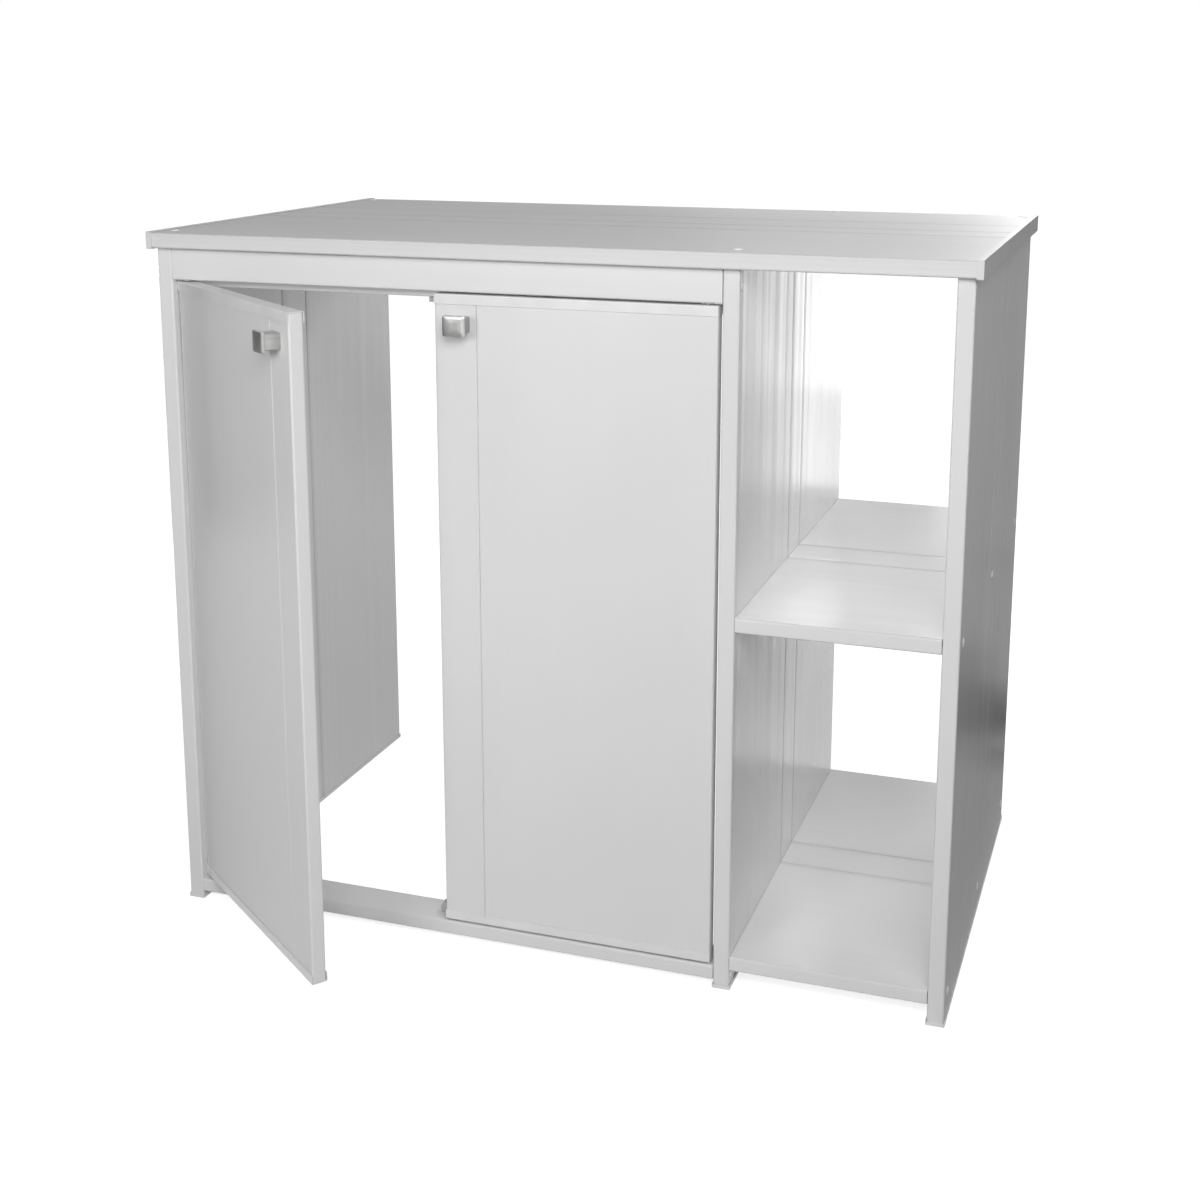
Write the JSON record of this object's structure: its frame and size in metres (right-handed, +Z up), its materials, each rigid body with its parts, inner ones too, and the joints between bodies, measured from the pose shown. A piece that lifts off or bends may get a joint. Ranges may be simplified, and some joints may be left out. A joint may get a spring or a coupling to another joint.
{
  "type": "washing machine cabinet",
  "caption": "Free-standing white plastic plank cabinet that covers a washing machine, with pivot-hung front doors, an open shelf bay at its right and a flat worktop.",
  "frame": {"origin": "on the floor under the middle of the divider's foot cap, on the divider's mid-plane and halfway from front to back", "axes": "+X along the front to the shelf bay, +Y to the back, +Z up"},
  "size_m": [1.076, 0.8615, 0.94],
  "materials": {
    "white_plank": "extruded white plastic plank, satin, with faint lines along its length",
    "white_cap": "moulded or extruded white plastic trim, satin",
    "grey_moulding": "grey moulded plastic",
    "brushed_nickel": "satin brushed metal",
    "zinc_steel": "plain zinc plated steel"
  },
  "bodies": {
    "cabinet": {"left_upright_front_plank": "white_plank", "left_upright_joint_strip": "white_plank", "left_upright_rear_plank": "white_plank", "left_upright_foot_cap": "white_cap", "divider_front_plank": "white_plank", "divider_joint_strip": "white_plank", "divider_rear_plank": "white_plank", "divider_foot_cap": "white_cap", "right_upright_front_plank": "white_plank", "right_upright_joint_strip": "white_plank", "right_upright_rear_plank": "white_plank", "right_upright_foot_cap": "white_cap", "middle_shelf_front_plank": "white_plank", "middle_shelf_joint_strip": "white_plank", "middle_shelf_rear_plank": "white_plank", "bottom_shelf_front_plank": "white_plank", "bottom_shelf_joint_strip": "white_plank", "bottom_shelf_rear_plank": "white_plank", "worktop_front_plank": "white_plank", "worktop_joint_strip": "white_plank", "worktop_back_strip": "white_plank", "worktop_rear_plank": "white_plank", "worktop_left_end_cap": "white_cap", "worktop_right_end_cap": "white_cap", "fascia": "white_plank", "door_stop_strip": "white_plank", "bottom_rail": "white_plank", "top_catch": "grey_moulding", "bottom_catch": "grey_moulding", "left_top_bush": "grey_moulding", "left_bottom_bush": "grey_moulding", "right_top_bush": "grey_moulding", "right_bottom_bush": "grey_moulding"},
    "left_door": {"left_door_wide_plank": "white_plank", "left_door_narrow_plank": "white_plank", "left_door_top_cap": "white_cap", "left_door_bottom_cap": "white_cap", "left_door_top_pivot": "zinc_steel", "left_door_bottom_pivot": "zinc_steel", "left_door_top_strike": "zinc_steel", "left_door_bottom_strike": "zinc_steel", "left_knob": "brushed_nickel", "left_knob_screw": "zinc_steel"},
    "right_door": {"right_door_wide_plank": "white_plank", "right_door_narrow_plank": "white_plank", "right_door_top_cap": "white_cap", "right_door_bottom_cap": "white_cap", "right_door_top_pivot": "zinc_steel", "right_door_bottom_pivot": "zinc_steel", "right_door_top_strike": "zinc_steel", "right_door_bottom_strike": "zinc_steel", "right_knob": "brushed_nickel", "right_knob_screw": "zinc_steel"}
  },
  "joints": [
    {"name": "left_door_hinge", "type": "hinge", "parent": "cabinet", "child": "left_door", "pos_m": [-0.737, -0.31075, 0.45], "axis": [0, 0, -1], "range_deg": [-38, 72]},
    {"name": "right_door_hinge", "type": "hinge", "parent": "cabinet", "child": "right_door", "pos_m": [-0.029, -0.31075, 0.45], "axis": [0, 0, 1], "range_deg": [0, 110]}
  ]
}
